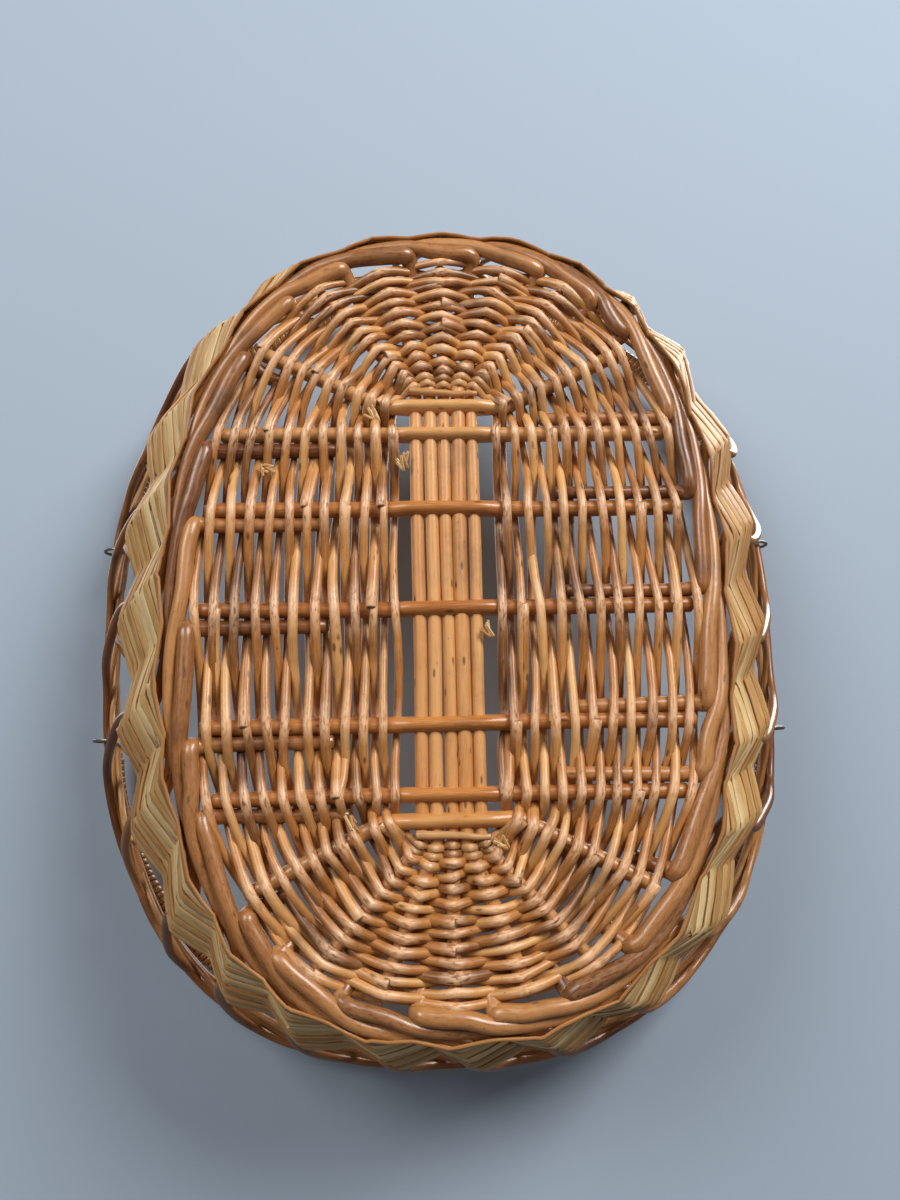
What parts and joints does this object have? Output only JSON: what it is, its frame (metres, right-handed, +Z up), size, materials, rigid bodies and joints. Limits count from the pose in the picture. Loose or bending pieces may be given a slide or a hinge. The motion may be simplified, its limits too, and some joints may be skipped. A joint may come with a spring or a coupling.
{
  "type": "wicker picnic basket",
  "caption": "Oval open wicker picnic basket with a slatted woven base, rolled foot border, straw band, open lattice wall, round rim and folding cane-wrapped handles.",
  "frame": {"origin": "middle of the foot, on the surface that the basket stands on", "axes": "+Z up out of the basket's opening, Y along the oval's long axis with the rear end at +Y, X across"},
  "size_m": [0.446, 0.5206, 0.1421],
  "materials": {
    "stick_willow": "clear varnished orange-brown willow sticks",
    "weaver_willow": "clear varnished honey-brown willow rods with pinkish highlights",
    "border_willow": "clear varnished brown willow rods",
    "stake_willow": "clear varnished brown willow rods",
    "straw": "pale split straw strands, satin",
    "cane": "flat glossy cane",
    "ring_wire": "dull plated steel wire"
  },
  "bodies": {
    "basket": {"base_cross_stick_1": "stick_willow", "base_cross_stick_2": "stick_willow", "base_cross_stick_3": "stick_willow", "base_cross_stick_4": "stick_willow", "base_cross_stick_5": "stick_willow", "base_cross_stick_6": "stick_willow", "base_cross_stick_7": "stick_willow", "base_long_stick_1": "stick_willow", "base_long_stick_2": "stick_willow", "base_long_stick_3": "stick_willow", "base_long_stick_4": "stick_willow", "base_long_stick_5": "stick_willow", "base_weave": "weaver_willow", "bye_stakes_front": "stake_willow", "bye_stakes_left": "stake_willow", "bye_stakes_rear": "stake_willow", "bye_stakes_right": "stake_willow", "foot_border_rod_01": "border_willow", "foot_border_rod_02": "border_willow", "foot_border_rod_03": "border_willow", "foot_border_rod_04": "border_willow", "foot_border_rod_05": "border_willow", "foot_border_rod_06": "border_willow", "foot_border_rod_07": "border_willow", "foot_border_rod_08": "border_willow", "foot_border_rod_09": "border_willow", "foot_border_rod_10": "border_willow", "foot_border_rod_11": "border_willow", "foot_border_rod_12": "border_willow", "foot_border_rod_13": "border_willow", "foot_border_rod_14": "border_willow", "foot_border_rod_15": "border_willow", "foot_border_rod_16": "border_willow", "foot_border_rod_17": "border_willow", "foot_border_rod_18": "border_willow", "foot_border_rod_19": "border_willow", "foot_border_rod_20": "border_willow", "foot_border_rod_21": "border_willow", "foot_border_rod_22": "border_willow", "foot_border_rod_23": "border_willow", "foot_border_rod_24": "border_willow", "foot_border_rod_25": "border_willow", "foot_border_rod_26": "border_willow", "front_left_ring": "ring_wire", "front_right_ring": "ring_wire", "rear_left_ring": "ring_wire", "rear_right_ring": "ring_wire", "rim_hoop": "border_willow", "side_stakes_front": "stake_willow", "side_stakes_left": "stake_willow", "side_stakes_rear": "stake_willow", "side_stakes_right": "stake_willow", "straw_band": "straw"},
    "front_handle": {"front_handle_cane_wrap": "cane", "front_handle_core": "stake_willow"},
    "rear_handle": {"rear_handle_cane_wrap": "cane", "rear_handle_core": "stake_willow"}
  },
  "joints": [
    {"name": "front_handle_swing", "type": "hinge", "parent": "basket", "child": "front_handle", "pos_m": [0, -0.062, 0.1363], "axis": [-1, 0, 0], "range_deg": [0, 105]},
    {"name": "rear_handle_swing", "type": "hinge", "parent": "basket", "child": "rear_handle", "pos_m": [0, 0.062, 0.1363], "axis": [1, 0, 0], "range_deg": [0, 105]}
  ]
}
